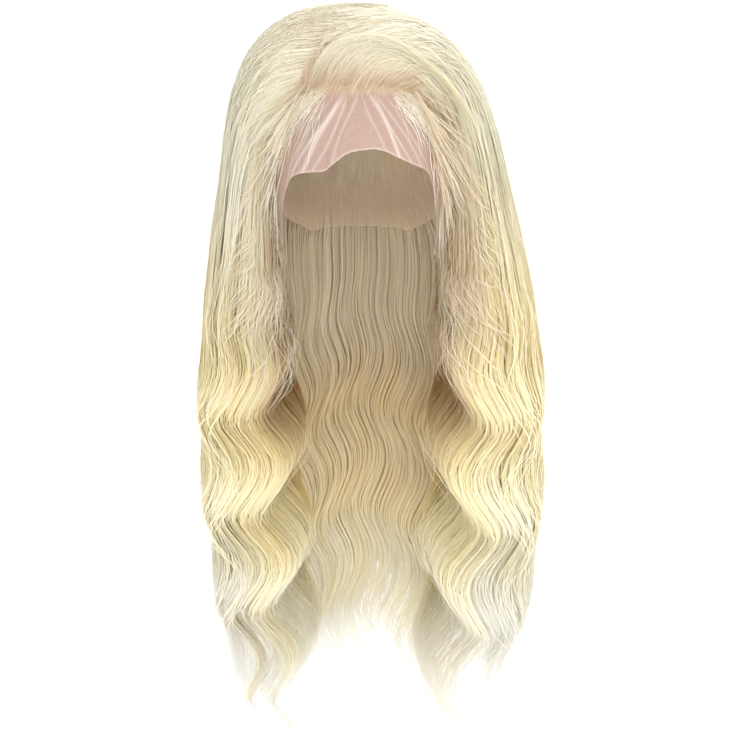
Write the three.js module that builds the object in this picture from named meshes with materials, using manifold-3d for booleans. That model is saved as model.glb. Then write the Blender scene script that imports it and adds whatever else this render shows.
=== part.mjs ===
// Full lace wig: an open lace cap with long body-wave hair tied to it, as it hangs when worn.
// Millimetres, +Z up, the wearer faces -Y. The origin is the inside of the cap's crown,
// where the top of the wearer's head touches it. Left and right are the wearer's.
import * as THREE from "three";
import { mergeVertices } from "three/addons/utils/BufferGeometryUtils.js";
import Module from "manifold-3d";

const wasm = await Module();
wasm.setup();

const { lerp, clamp, smoothstep, degToRad, radToDeg } = THREE.MathUtils;

// Driving dimensions

const HEAD = {
  halfWidth: 77,
  halfDepth: 97,
  crownHeight: 105, // from the widest level up to the crown
  faceTaper: 150, // how slowly the sides narrow below the widest level
  napeTaper: 118, // the same at the back
};
const LACE_WALL = 1; // net, with its knots
const SEAT_GAP = 0.4; // from the lace to the hair that is tied to it
const SECTION_GAP = 0.5; // between two sections of hair
const HEAD_ROOM_DROP = 205; // how far below the crown the hair keeps clear of the head
const CREASE_FULL = 0.6; // how far down the loose lace its creases reach their height

// The free parting: where it meets the hairline, its depth and width (degrees), and how far it
// runs back, as a share of the way to the crown.
const PART = { azimuth: -37, drop: 31, lift: 6, width: 14, length: 0.45 };
const CROWN_BACK = 0.28; // how far behind the cap's middle the crown lies, as a slope
const CROWN_RIDGE = 1.8; // height of the locks that run from the parting to the edge
const RIDGE_FULL = 0.4; // how far from the parting those locks reach their height
const EDGE_TAPER = 0.6; // how far from the parting the hair starts to settle to its edge
const BACK_THIN = 0.72; // the share of the crown hair's thickness that it has at the back

const FALL_TOP = -150; // where the hair leaves the head and hangs free
const FALL_REACH = 124; // how far the hair reaches round from the back, in degrees, each way
const FALL_CENTRE = 10; // how far behind the crown the middle of the hanging hair lies
const BACK_PART = 0.3; // how far round the fall keeps its thickness at the back
const SIDE_PART = 0.75; // how far round it reaches its thickness at the sides
const WAVE = { length: 128, sideways: 9, outward: 6, start: 150, full: 290 }; // the body wave

// Locks start small inside the crown hair at a level, reach their size, and thin out to a tip.
const LOCK = { top: -76, rootSize: 0.15, freed: 0.15, taper: 0.74, tipSize: 0.14 };

// The core that the hanging locks lie on: its levels, its share of the fall's thickness, where it
// starts to thin and how thin it ends, and how uneven its end is.
const CORE = { top: -110, end: -570, share: 0.62, taper: 0.5, endSize: 0.08, rag: 18 };

// The cap's edge and the hairline. Azimuth is from the front, positive to the wearer's left;
// lace and hair are drops below the crown, and lift is the hair's thickness at its edge.
const EDGE = [
  { azimuth: -180, lace: 188, hair: 184, lift: 27 },
  { azimuth: -140, lace: 186, hair: 181, lift: 29 },
  { azimuth: -116, lace: 166, hair: 161, lift: 34 },
  { azimuth: -96, lace: 130, hair: 126, lift: 40 },
  { azimuth: -80, lace: 124, hair: 119, lift: 38 },
  { azimuth: -70, lace: 140, hair: 128, lift: 31 },
  { azimuth: -60, lace: 168, hair: 128, lift: 24 },
  { azimuth: -53, lace: 156, hair: 92, lift: 15 },
  { azimuth: -46, lace: 118, hair: 50, lift: 9 },
  { azimuth: -39, lace: 98, hair: 33, lift: 6 },
  { azimuth: -31, lace: 91, hair: 29, lift: 5 },
  { azimuth: -24, lace: 88, hair: 27, lift: 5 },
  { azimuth: -17, lace: 86, hair: 26, lift: 4 },
  { azimuth: -11, lace: 77, hair: 25, lift: 4 },
  { azimuth: -6, lace: 70, hair: 25, lift: 4 },
  { azimuth: 0, lace: 68, hair: 24, lift: 4 },
  { azimuth: 8, lace: 67, hair: 24, lift: 4 },
  { azimuth: 14, lace: 70, hair: 25, lift: 4 },
  { azimuth: 21, lace: 77, hair: 26, lift: 5 },
  { azimuth: 29, lace: 84, hair: 29, lift: 5 },
  { azimuth: 38, lace: 91, hair: 34, lift: 6 },
  { azimuth: 43, lace: 106, hair: 41, lift: 8 },
  { azimuth: 49, lace: 138, hair: 62, lift: 11 },
  { azimuth: 55, lace: 174, hair: 98, lift: 17 },
  { azimuth: 62, lace: 176, hair: 128, lift: 27 },
  { azimuth: 69, lace: 146, hair: 128, lift: 33 },
  { azimuth: 80, lace: 124, hair: 119, lift: 42 },
  { azimuth: 96, lace: 130, hair: 126, lift: 44 },
  { azimuth: 116, lace: 166, hair: 161, lift: 35 },
  { azimuth: 140, lace: 186, hair: 181, lift: 29 },
  { azimuth: 180, lace: 188, hair: 184, lift: 27 },
];

// The hair's thickness over the crown, by the angle from straight up.
const CROWN_LIFT = [
  { polar: 0, lift: 21 },
  { polar: 15, lift: 25 },
  { polar: 30, lift: 33 },
  { polar: 45, lift: 35 },
  { polar: 60, lift: 33 },
  { polar: 75, lift: 33 },
  { polar: 90, lift: 36 },
  { polar: 105, lift: 42 },
];

// Soft creases in the loose lace over the forehead: from the hairline down to the edge.
const CREASES = [
  { top: -10, bottom: -34, height: 2.2, width: 4 },
  { top: 0, bottom: -12, height: 1.4, width: 3.5 },
  { top: 4, bottom: 24, height: 2.0, width: 4 },
];

// The hanging hair, level by level: half-widths of the ring it hangs in, to the right, left
// and back, and its half-thickness at the sides and the back.
const FALL = [
  { level: -90, right: 94, left: 96, back: 97, thickRight: 17, thickLeft: 18, thickBack: 15 },
  { level: -130, right: 97, left: 101, back: 93, thickRight: 20, thickLeft: 22, thickBack: 17 },
  { level: -180, right: 97, left: 104, back: 86, thickRight: 29, thickLeft: 33, thickBack: 19 },
  { level: -277, right: 97, left: 110, back: 80, thickRight: 40, thickLeft: 46, thickBack: 22 },
  { level: -373, right: 99, left: 113, back: 77, thickRight: 43, thickLeft: 46, thickBack: 23 },
  { level: -463, right: 92, left: 111, back: 73, thickRight: 42, thickLeft: 49, thickBack: 22 },
  { level: -530, right: 86, left: 104, back: 70, thickRight: 44, thickLeft: 48, thickBack: 20 },
  { level: -600, right: 80, left: 92, back: 66, thickRight: 39, thickLeft: 42, thickBack: 16 },
  { level: -660, right: 72, left: 82, back: 62, thickRight: 30, thickLeft: 32, thickBack: 12 },
];

// The hanging locks. round: -1 at the front on the right, 0 at the back, 1 at the front on the
// left; layer: -1 against the neck, 1 outermost; tip: level of the end; wide and thick: half
// sizes; phase: of the wave, in turns.
const LOCKS = [
  { round: -1, layer: -0.72, tip: -590, wide: 13, thick: 12, phase: 0.05 },
  { round: -1, layer: -0.22, tip: -618, wide: 14, thick: 13, phase: 0.2 },
  { round: -0.99, layer: 0.3, tip: -655, wide: 15, thick: 13, phase: 0.1 },
  { round: -0.97, layer: 0.76, tip: -605, wide: 14, thick: 12, phase: 0.3 },
  { round: -0.8, layer: 0.74, tip: -630, wide: 20, thick: 12, phase: 0.45 },
  { round: -0.6, layer: 0.7, tip: -600, wide: 21, thick: 12, phase: 0.65 },
  { round: -0.43, layer: 0.6, tip: -615, wide: 18, thick: 12, phase: 0.8 },
  { round: -0.26, layer: 0.6, tip: -630, wide: 19, thick: 11, phase: 0 },
  { round: -0.09, layer: 0.6, tip: -640, wide: 19, thick: 11, phase: 0.25 },
  { round: 0.09, layer: 0.6, tip: -622, wide: 19, thick: 11, phase: 0.45 },
  { round: 0.26, layer: 0.6, tip: -634, wide: 19, thick: 11, phase: 0.7 },
  { round: 0.43, layer: 0.6, tip: -610, wide: 18, thick: 12, phase: 0.3 },
  { round: 0.6, layer: 0.7, tip: -606, wide: 21, thick: 12, phase: 0.45 },
  { round: 0.8, layer: 0.74, tip: -632, wide: 20, thick: 13, phase: 0.6 },
  { round: 0.97, layer: 0.76, tip: -598, wide: 15, thick: 13, phase: 0.8 },
  { round: 0.99, layer: 0.3, tip: -650, wide: 16, thick: 14, phase: 0.95 },
  { round: 1, layer: -0.22, tip: -628, wide: 15, thick: 13, phase: 0.1 },
  { round: 1, layer: -0.72, tip: -606, wide: 14, thick: 12, phase: 0.25 },
];

// Sections of the hair, parted along straight lines from the crown, by their azimuths, and the
// stretch of the ring that each one hangs in.
const SECTIONS = [
  { name: "right", from: -135, to: -30, first: -1, last: -0.32 },
  { name: "left", from: -30, to: 135, first: 0.32, last: 1 },
  { name: "back", from: 135, to: 225, first: -0.42, last: 0.42 },
];

const SPACE = 1000; // larger than the wig, for the solids that cut it
const WELD = 1e-3; // points closer than this are one
const LOCK_STEP = 29; // between the rings of a hanging lock
const LOCK_SIDES = 6;
const CAP_ROWS = 9;
const CROWN_ROWS = 7;
const CORE_LEVELS = 9;
const CORE_COLUMNS = 7;

const HAIR_COLOUR = 0xf3e9bd;
const LACE_COLOUR = 0xe3bfae;

const HEAD_MIDDLE = new THREE.Vector3(0, 0, -HEAD.crownHeight);

// Tables

/** A column of a table at a place along its first column, straight between the rows. */
function column(table, key, name, at) {
  const rows = table[0][key] < table.at(-1)[key] ? table : [...table].reverse();
  const next = Math.max(1, rows.findIndex((row) => row[key] >= at));
  const last = at > rows.at(-1)[key] ? rows.length - 1 : next;
  const [a, b] = [rows[last - 1], rows[last]];
  return lerp(a[name], b[name], clamp((at - a[key]) / (b[key] - a[key]), 0, 1));
}

const edgeDrop = (azimuth, name) => column(EDGE, "azimuth", name, azimuth);
const fallSize = (level, name) => column(FALL, "level", name, level);

// The size of head that the cap is made for

/** How fast the head narrows downwards below its widest level, at a place round it. */
function taperAt(x, y) {
  const backward = clamp(y / Math.hypot(x, y, 1e-9), 0, 1);
  return lerp(HEAD.faceTaper, HEAD.napeTaper, backward);
}

/** The point of the head in a direction from its middle, raised by lift. */
function onHead(direction, lift = 0) {
  const { x, y, z } = direction;
  const height = z >= 0 ? HEAD.crownHeight : taperAt(x, y);
  const radii = new THREE.Vector3(HEAD.halfWidth, HEAD.halfDepth, height);
  const point = direction.clone().divideScalar(direction.clone().divide(radii).length());
  const normal = point.clone().divide(radii).divide(radii).normalize();
  return point.addScaledVector(normal, lift).add(HEAD_MIDDLE);
}

/** The direction from the head's middle to its skin at an azimuth and a drop below the crown. */
function headDirection(azimuth, drop) {
  const angle = degToRad(azimuth);
  const [x, y] = [Math.sin(angle), -Math.cos(angle)];
  const below = drop - HEAD.crownHeight;
  const height = below < 0 ? HEAD.crownHeight : taperAt(x, y);
  const across = Math.sqrt(Math.max(0, 1 - (below / height) ** 2));
  const radius = across / Math.hypot(x / HEAD.halfWidth, y / HEAD.halfDepth);
  return new THREE.Vector3(x * radius, y * radius, -below).normalize();
}

const turned = (a, b, share) => {
  const angle = a.angleTo(b);
  if (angle < 1e-6) return a.clone();
  const weight = (x) => Math.sin(x * angle) / Math.sin(angle);
  return a.clone().multiplyScalar(weight(1 - share)).addScaledVector(b, weight(share)).normalize();
};

// Meshes and solids

/** A closed skin over rows of points, each row a closed ring of the same length, with flat ends. */
function loft(rings) {
  const size = rings[0].length;
  const points = rings.flat();
  const faces = [];
  for (let row = 0; row + 1 < rings.length; row++)
    for (let i = 0; i < size; i++) {
      const [a, b] = [row * size + i, row * size + ((i + 1) % size)];
      faces.push(a, b, b + size, a, b + size, a + size);
    }
  for (let i = 1; i + 1 < size; i++) {
    const end = (rings.length - 1) * size;
    faces.push(0, i + 1, i, end, end + i, end + i + 1);
  }
  return indexed(points, faces);
}

function indexed(points, faces) {
  const geometry = new THREE.BufferGeometry().setFromPoints(points);
  geometry.setIndex(faces);
  return geometry;
}

/** A three.js geometry as a solid that can be joined and cut. */
function solid(geometry) {
  const bare = geometry.clone();
  bare.deleteAttribute("normal");
  bare.deleteAttribute("uv");
  const merged = mergeVertices(bare, WELD);
  const vertProperties = new Float32Array(merged.attributes.position.array);
  const triVerts = new Uint32Array(merged.index.array);
  const made = new wasm.Manifold(new wasm.Mesh({ numProp: 3, vertProperties, triVerts }));
  if (made.volume() > 0) return made;
  for (let i = 0; i < triVerts.length; i += 3)
    [triVerts[i + 1], triVerts[i + 2]] = [triVerts[i + 2], triVerts[i + 1]];
  return new wasm.Manifold(new wasm.Mesh({ numProp: 3, vertProperties, triVerts }));
}

const joined = (solids) => solids.reduce((all, one) => all.add(one));

function geometryOf(made) {
  const { vertProperties, triVerts } = made.getMesh();
  const geometry = new THREE.BufferGeometry();
  geometry.setAttribute("position", new THREE.BufferAttribute(new Float32Array(vertProperties), 3));
  geometry.setIndex(new THREE.BufferAttribute(new Uint32Array(triVerts), 1));
  return geometry;
}

const largest = (made) => made.decompose().reduce((a, b) => (a.volume() > b.volume() ? a : b));

/** The largest body of a solid, without the crumbs and sealed pockets that a cut leaves. */
const mainBody = (cut) => largest(solid(geometryOf(largest(cut))));

function meshOf(made, name, material) {
  const geometry = geometryOf(made);
  geometry.computeVertexNormals();
  const mesh = new THREE.Mesh(geometry, material);
  mesh.name = name;
  return mesh;
}

// The cap

const UP = new THREE.Vector3(0, 0, 1);

/** How far the creases lift the lace at an azimuth and a drop below the crown. */
function creaseLift(azimuth, drop) {
  const [hair, lace] = [edgeDrop(azimuth, "hair"), edgeDrop(azimuth, "lace")];
  const along = clamp((drop - hair) / (lace - hair), 0, 1);
  return CREASES.reduce((lift, { top, bottom, height, width }) => {
    const off = (azimuth - lerp(top, bottom, along)) / width;
    return lift + height * smoothstep(along, 0, CREASE_FULL) * Math.exp(-off * off);
  }, 0);
}

/** Azimuths round the head, closer together at the front where the edges are scalloped. */
function azimuthsRound(frontStep, backStep) {
  const list = [];
  for (let azimuth = -180; azimuth < 180; azimuth += Math.abs(azimuth + 1) < 72 ? frontStep : backStep)
    list.push(azimuth);
  return list;
}

const CAP_AZIMUTHS = azimuthsRound(5, 12);

/** Rows of directions from the crown to the lace's edge, one row for each ring of points. */
function capRows() {
  return Array.from({ length: CAP_ROWS }, (_, row) =>
    CAP_AZIMUTHS.map((azimuth) => {
      const edge = headDirection(azimuth, edgeDrop(azimuth, "lace"));
      return turned(UP, edge, (row + 1) / CAP_ROWS);
    }));
}

/** The cap's skin, creases and all, raised by lift. */
function capSkin(lift) {
  return capRows().map((row) =>
    row.map((direction, i) =>
      onHead(direction, lift + creaseLift(CAP_AZIMUTHS[i], -onHead(direction).z))));
}

/** A closed solid from a top point, rings of points below it and a bottom point. */
function ringed(top, rings, bottom) {
  const size = rings[0].length;
  const points = [top, ...rings.flat(), bottom];
  const at = (row, i) => 1 + row * size + (i % size);
  const faces = [];
  for (let i = 0; i < size; i++) {
    faces.push(0, at(0, i), at(0, i + 1));
    for (let row = 0; row + 1 < rings.length; row++) {
      const [a, b, c, d] = [at(row, i), at(row + 1, i), at(row + 1, i + 1), at(row, i + 1)];
      faces.push(a, b, c, a, c, d);
    }
    faces.push(at(rings.length - 1, i), points.length - 1, at(rings.length - 1, i + 1));
  }
  return solid(indexed(points, faces));
}

function laceCap() {
  const outside = capSkin(LACE_WALL);
  const inside = capSkin(0).reverse();
  return ringed(onHead(UP, LACE_WALL), [...outside, ...inside], onHead(UP));
}

/** The room that the hair leaves for the cap and for the head and neck below it. */
function headRoom() {
  const lift = LACE_WALL + SEAT_GAP;
  const lowest = CAP_AZIMUTHS.map((azimuth) => onHead(headDirection(azimuth, HEAD_ROOM_DROP), lift));
  return ringed(onHead(UP, lift), [...capSkin(lift), lowest], new THREE.Vector3(0, 0, -HEAD_ROOM_DROP));
}

// The hair on the crown

const CROWN = new THREE.Vector3(0, CROWN_BACK, 1).normalize();
const PARTING = turned(headDirection(PART.azimuth, PART.drop), CROWN, PART.length);

/** How far the hair's surface lies from the head, without its locks. */
function crownLift(direction, azimuth, share) {
  const polar = radToDeg(direction.angleTo(UP));
  const backward = smoothstep(direction.y, 0, 0.8);
  const full = column(CROWN_LIFT, "polar", "lift", polar) * lerp(1, BACK_THIN, backward);
  const fromParting = radToDeg(direction.angleTo(PARTING));
  const risen = lerp(PART.lift, full, smoothstep(fromParting, 0, PART.width));
  return lerp(risen, edgeDrop(azimuth, "lift"), smoothstep(share, EDGE_TAPER, 1));
}

/** The hair over the cap: locks that run from the parting to the hairline and the cap's edge. */
function crownHair() {
  const azimuths = azimuthsRound(6, 12);
  const rings = Array.from({ length: CROWN_ROWS }, (_, row) => {
    const share = (row + 1) / CROWN_ROWS;
    return azimuths.map((azimuth, i) => {
      const edge = headDirection(azimuth, edgeDrop(azimuth, "hair"));
      const direction = turned(PARTING, edge, share);
      const ridge = (i % 2 ? 1 : -1) * CROWN_RIDGE * smoothstep(share, 0, RIDGE_FULL);
      return onHead(direction, crownLift(direction, azimuth, share) + ridge);
    });
  });
  return ringed(onHead(PARTING, PART.lift), rings, HEAD_MIDDLE.clone());
}

// The hair that hangs

/** The ring that the hair hangs in: a point, its outward direction and its sideways direction. */
function ringAt(round, level) {
  const angle = degToRad(round * FALL_REACH);
  const across = fallSize(level, round < 0 ? "right" : "left");
  const back = fallSize(level, "back");
  const [sine, cosine] = [Math.sin(angle), Math.cos(angle)];
  const point = new THREE.Vector3(across * sine, FALL_CENTRE + back * cosine, level);
  const outward = new THREE.Vector3(sine / across, cosine / back, 0).normalize();
  const sideways = new THREE.Vector3(across * cosine, -back * sine, 0).normalize();
  return { point, outward, sideways };
}

/** Half the thickness of the hanging hair. */
function fallThickness(round, level) {
  const side = fallSize(level, round < 0 ? "thickRight" : "thickLeft");
  return lerp(fallSize(level, "thickBack"), side, smoothstep(Math.abs(round), BACK_PART, SIDE_PART));
}

/** A point of the hanging hair, with the body wave. */
function hanging(round, layer, level, phase) {
  const { point, outward, sideways } = ringAt(round, level);
  const strength = smoothstep(-level, WAVE.start, WAVE.full);
  const turn = 2 * Math.PI * (phase - level / WAVE.length);
  const out = layer * fallThickness(round, level) + strength * WAVE.outward * Math.cos(turn);
  const along = strength * WAVE.sideways * Math.sin(turn);
  return point.addScaledVector(outward, out).addScaledVector(sideways, along);
}

/** A lock: an oval swept down its wavy line and drawn out to its tip. */
function lock({ round, layer, tip, wide, thick, phase }) {
  const steps = Math.round((LOCK.top - tip) / LOCK_STEP);
  const rings = Array.from({ length: steps + 1 }, (_, step) => {
    const share = step / steps;
    const level = lerp(LOCK.top, tip, share);
    const freed = smoothstep(share, 0, LOCK.freed);
    const point = hanging(round, layer * freed, level, phase);
    const { outward, sideways } = ringAt(round, level);
    const thinned = smoothstep(share, LOCK.taper, 1);
    const size = lerp(LOCK.rootSize, 1, freed) * lerp(1, LOCK.tipSize, thinned);
    return Array.from({ length: LOCK_SIDES }, (_, side) => {
      const turn = (2 * Math.PI * side) / LOCK_SIDES;
      return point.clone()
        .addScaledVector(sideways, size * wide * Math.cos(turn))
        .addScaledVector(outward, size * thick * Math.sin(turn));
    });
  });
  return solid(loft(rings));
}

/** The core that the hanging locks of a section share. */
function fallCore({ first, last }) {
  const rings = Array.from({ length: CORE_LEVELS }, (_, step) => {
    const share = step / (CORE_LEVELS - 1);
    const thin = CORE.share * lerp(1, CORE.endSize, smoothstep(share, CORE.taper, 1));
    const row = (side) =>
      Array.from({ length: CORE_COLUMNS }, (_, i) => {
        const round = lerp(first, last, i / (CORE_COLUMNS - 1));
        const level = lerp(CORE.top, CORE.end + (i % 2 ? CORE.rag : -CORE.rag), share);
        const { point, outward } = ringAt(round, level);
        return point.addScaledVector(outward, side * thin * fallThickness(round, level));
      });
    return [...row(1), ...row(-1).reverse()];
  });
  return solid(loft(rings));
}

// Sections

/** A tall wedge from the crown between two azimuths, drawn in a little from its neighbours. */
function sectionWedge({ from, to }) {
  const middle = degToRad((from + to) / 2);
  const half = degToRad((to - from) / 2);
  const shift = SECTION_GAP / 2 / Math.sin(half);
  const centre = new THREE.Vector2(Math.sin(middle) * shift, FALL_CENTRE - Math.cos(middle) * shift);
  const spoke = (azimuth) => {
    const angle = degToRad(azimuth);
    return new THREE.Vector2(Math.sin(angle), -Math.cos(angle)).multiplyScalar(SPACE).add(centre);
  };
  const rim = [0, 0.25, 0.5, 0.75, 1].map((share) => spoke(lerp(from, to, share)));
  const shape = new THREE.Shape([centre, ...rim]);
  const prism = new THREE.ExtrudeGeometry(shape, { depth: 2 * SPACE, bevelEnabled: false });
  return solid(prism.translate(0, 0, -SPACE));
}

/** A slab of space between two levels, for cutting the hair where it leaves the head. */
function slab(bottom, top) {
  const box = new THREE.BoxGeometry(SPACE, SPACE, top - bottom);
  return solid(box.translate(0, 0, (bottom + top) / 2));
}

function hairSections() {
  const crown = crownHair();
  const room = headRoom();
  const onTop = slab(FALL_TOP + SECTION_GAP / 2, SPACE);
  const below = slab(-SPACE, FALL_TOP - SECTION_GAP / 2);
  return SECTIONS.map((section) => {
    const locks = LOCKS.filter(({ round }) => round >= section.first && round <= section.last).map(lock);
    const wedge = sectionWedge(section);
    const hair = joined([crown, fallCore(section), ...locks]).subtract(room).intersect(wedge);
    return {
      name: section.name,
      crown: mainBody(hair.intersect(onTop)),
      fall: mainBody(hair.intersect(below)),
    };
  });
}

// The wig

const laceFinish = () =>
  new THREE.MeshStandardMaterial({ color: LACE_COLOUR, roughness: 0.85, metalness: 0 });
const hairFinish = () =>
  new THREE.MeshStandardMaterial({ color: HAIR_COLOUR, roughness: 0.5, metalness: 0 });

const wig = new THREE.Group();
wig.name = "full_lace_wig";
wig.add(meshOf(laceCap(), "lace_cap", laceFinish()));
for (const { name, crown, fall } of hairSections()) {
  wig.add(meshOf(crown, `crown_hair_${name}`, hairFinish()));
  wig.add(meshOf(fall, `hanging_hair_${name}`, hairFinish()));
}

export default wig;
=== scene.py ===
# Full lace wig: long body-wave hair, strand by strand, tied to an open lace cap and hanging as worn.
# Millimetres until a mesh is made. +Z is up and the wearer faces -Y. Left and right are the wearer's.
# Azimuths are degrees from the front, to the left. A level is a Z, and a drop the same counted downwards.
# A place runs round the hanging hair: 0 at the back, -1 at the right front and 1 at the left front.
# A layer runs through its thickness, from -1 inside to 1 outside.
import math

import bpy
import numpy as np
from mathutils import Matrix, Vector


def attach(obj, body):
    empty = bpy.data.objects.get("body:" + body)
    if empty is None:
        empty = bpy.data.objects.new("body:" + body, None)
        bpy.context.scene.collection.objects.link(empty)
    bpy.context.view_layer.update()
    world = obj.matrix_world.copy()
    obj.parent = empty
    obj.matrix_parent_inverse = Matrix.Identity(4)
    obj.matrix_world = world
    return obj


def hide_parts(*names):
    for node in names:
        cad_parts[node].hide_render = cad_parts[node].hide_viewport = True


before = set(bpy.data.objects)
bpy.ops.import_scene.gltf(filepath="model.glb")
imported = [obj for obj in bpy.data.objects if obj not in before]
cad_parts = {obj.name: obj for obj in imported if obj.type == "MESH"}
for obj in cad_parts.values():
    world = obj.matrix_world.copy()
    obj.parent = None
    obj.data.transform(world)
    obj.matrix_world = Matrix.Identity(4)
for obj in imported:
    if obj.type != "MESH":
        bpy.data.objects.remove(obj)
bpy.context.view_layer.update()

MM = 0.001
SEED = 26
FINE_SEED = 76

# The form that the cap fits, which tapers below at the face and at the nape.
HALF_WIDTH = 77.0
HALF_DEPTH = 97.0
CROWN_HEIGHT = 105.0
FACE_TAPER = 150.0
NAPE_TAPER = 118.0
FORM_LOW = -205.0  # level where it ends
MIDDLE = np.array([0.0, 0.0, -CROWN_HEIGHT])
UP = np.array([0.0, 0.0, 1.0])

# The cap's edge and the hairline: azimuth, drops of the lace and of the hair.
EDGE = np.array([
    (-180, 188, 184), (-140, 186, 181), (-116, 166, 161), (-96, 130, 126), (-80, 124, 119),
    (-70, 140, 128), (-60, 168, 112), (-53, 156, 58), (-46, 118, 38), (-39, 98, 32),
    (-31, 91, 29), (-24, 88, 27), (-17, 86, 26), (-11, 77, 25), (-6, 70, 25), (0, 68, 24),
    (8, 67, 24), (14, 70, 25), (21, 77, 26), (29, 84, 29), (38, 91, 34), (43, 106, 41),
    (49, 138, 62), (55, 174, 98), (62, 176, 128), (69, 146, 128), (80, 124, 119), (96, 130, 126),
    (116, 166, 161), (140, 186, 181), (180, 188, 184),
], float)
EDGE_AZIMUTH, EDGE_LACE, EDGE_HAIR = range(3)
EDGE_SOFT = 1.6  # degrees over which a corner of the edge is rounded
EDGE_STEP = 0.5  # degrees
EDGE_REACH = 12  # steps

# How far forward the hair comes at the temples and in front of the ears: drops, azimuths.
RIGHT_LINE = ((22, 32, 45, 75, 110, 130, 185, 230), (0, 38, 51, 56, 60, 61, 60, 30))
LEFT_LINE = ((22, 32, 41, 62, 98, 128, 185, 230), (0, 33, 43, 50, 58, 64, 63, 30))
LINE_TURN = 30.0  # degrees that a strand is turned back at most
TEMPLE_SOFT = 6.0  # degrees by which strands differ there
SCATTER = 7.31  # makes them differ by where they start

# The free parting, from the hairline back to the crown.
PART_AZIMUTH = -43.0
PART_DROP = 32.0
CROWN_BACK = 0.28

# The hair's thickness over the crown: angle from straight up, thickness.
CROWN_LIFT = np.array([
    (0, 21), (15, 27), (30, 36), (45, 37), (60, 34), (75, 33), (90, 36), (105, 42),
], float)
BACK_THIN = 0.72  # share of it that the back keeps
RIGHT_FULL = 1.2  # how much fuller it is right of the parting
HAIRLINE_THIN = 0.06  # share of it at the hairline
FRONT_RISE = 36.0  # degrees behind the hairline where it is full
FRONT_ENDS = (52, 80)  # azimuths where the thin front ends

# How the strands are tied.
ROOT_SPREAD = 0.45  # how far back along the parting the front strands are tied
ROOT_DOWN = 0.5  # how far from it along the hairline the outer left ones are tied
ROOT_UP = 2.0  # how far above the edge the lowest strands are tied
ROOT_INSET = 16.0  # how far behind the edge they are tied at most
ROOT_LIFT = 1.2  # how far from the form a strand starts
ROOT_SUNK = 0.9  # how far out of the hair behind the hairline its strands appear
PART_APART = 0.07  # how far from the parting its two sides are tied, at the back
PART_SCATTER = (0.08, 0.05)  # how unevenly: at the back, and everywhere
LEFT_PULL = (0.8, 0.5)  # how far the front strands sweep to the crown: at the parting, further left
RIGHT_PULL = 0.16
PULL_AT = 0.45  # share of their way where they sweep furthest and start to come down

# The hanging hair: level, half-widths right, left and back, half-thickness right, left and back.
FALL = np.array([
    (-660, 72, 82, 62, 30, 32, 12), (-600, 80, 92, 66, 39, 42, 16), (-530, 86, 104, 70, 44, 48, 20),
    (-463, 92, 111, 73, 42, 49, 22), (-373, 99, 113, 77, 43, 46, 23), (-277, 97, 110, 80, 40, 46, 22),
    (-180, 97, 104, 86, 29, 33, 19), (-130, 97, 101, 93, 20, 22, 17), (-90, 94, 96, 97, 17, 18, 15),
], float)
FALL_LEVEL, FALL_RIGHT, FALL_LEFT, FALL_BACK, THICK_RIGHT, THICK_LEFT, THICK_BACK = range(7)
FALL_REACH = 124.0  # degrees from the back round to the front
FALL_CENTRE = 10.0
BACK_PART = 0.3
SIDE_PART = 0.75
SIDE_FROM = 0.36  # place where the side sections of the hair begin
FRONT_PLACE = 1.03  # place where they end
FRONT_ROUND = 0.17  # how much their front edge is rounded
LEAVE_LEVEL = -104.0  # where strands leave the cap, or lower
LEAVE_DROP = 22.0  # at least this far below their roots

# Its body wave.
WAVE_LENGTH = (98.0, 108.0)  # on the right and on the left
WAVE_PHASE = (0.94, 0.6)  # turns, where a wave of the front hair sweeps outwards
WAVE_DRIFT = 0.9  # turns by which it shifts from the front to the back
WAVE_SLANT = 0.2  # turns by which it comes later from the inside of a fall to its middle
WAVE_FRONT = (12.5, 5.5)  # size at the front: away from the middle, and forwards
WAVE_BACK = (7.0, 4.5)  # size at the back: along the ring, and outwards
WAVE_LAG = 0.3  # radians from its outward to its forward sweep
WAVE_SIDE = 0.2  # share of the outward wave that the sides keep
SIDE_MIDDLE = 0.68  # their place
WAVE_RISE = (190.0, 350.0)  # drops over which it sets in

# The hanging locks: place, layer, level of the tip.
LOCKS = np.array([
    (-1, -0.72, -590), (-1, -0.22, -618), (-0.99, 0.3, -655), (-0.97, 0.76, -605), (-0.8, 0.74, -630),
    (-0.6, 0.7, -600), (-0.43, 0.6, -615), (-0.26, 0.6, -630), (-0.09, 0.6, -640), (0.09, 0.6, -622),
    (0.26, 0.6, -634), (0.43, 0.6, -610), (0.6, 0.7, -606), (0.8, 0.74, -632), (0.97, 0.76, -598),
    (0.99, 0.3, -650), (1, -0.22, -628), (1, -0.72, -606),
], float)
LOCK_PLACE, LOCK_LAYER, LOCK_TIP = range(3)
LOCK_SHIFT = 0.04  # turns by which the waves of neighbouring locks differ
LOCK_FLAT = 0.8  # how much a difference in layer counts in finding a strand's lock
TWIGS = 170  # thin locks that the strands of one piece gather in
TWIG_SHIFT = 0.016
TWIG_SIZE = (0.94, 1.06)  # of its wave
TWIG_TIP = (-28.0, 18.0)
GATHER_LEVEL = -380.0  # where the strands are sorted into locks
# How strongly strands gather: at the back, at the front, and the drops over which that sets in.
TWIG_PULL = ((0.04, 0.06, 220, 480), (0.12, 0.26, 530, 660))
LOCK_PULL = ((0.02, 0.06, 260, 520), (0.0, 0.08, 520, 660))

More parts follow.
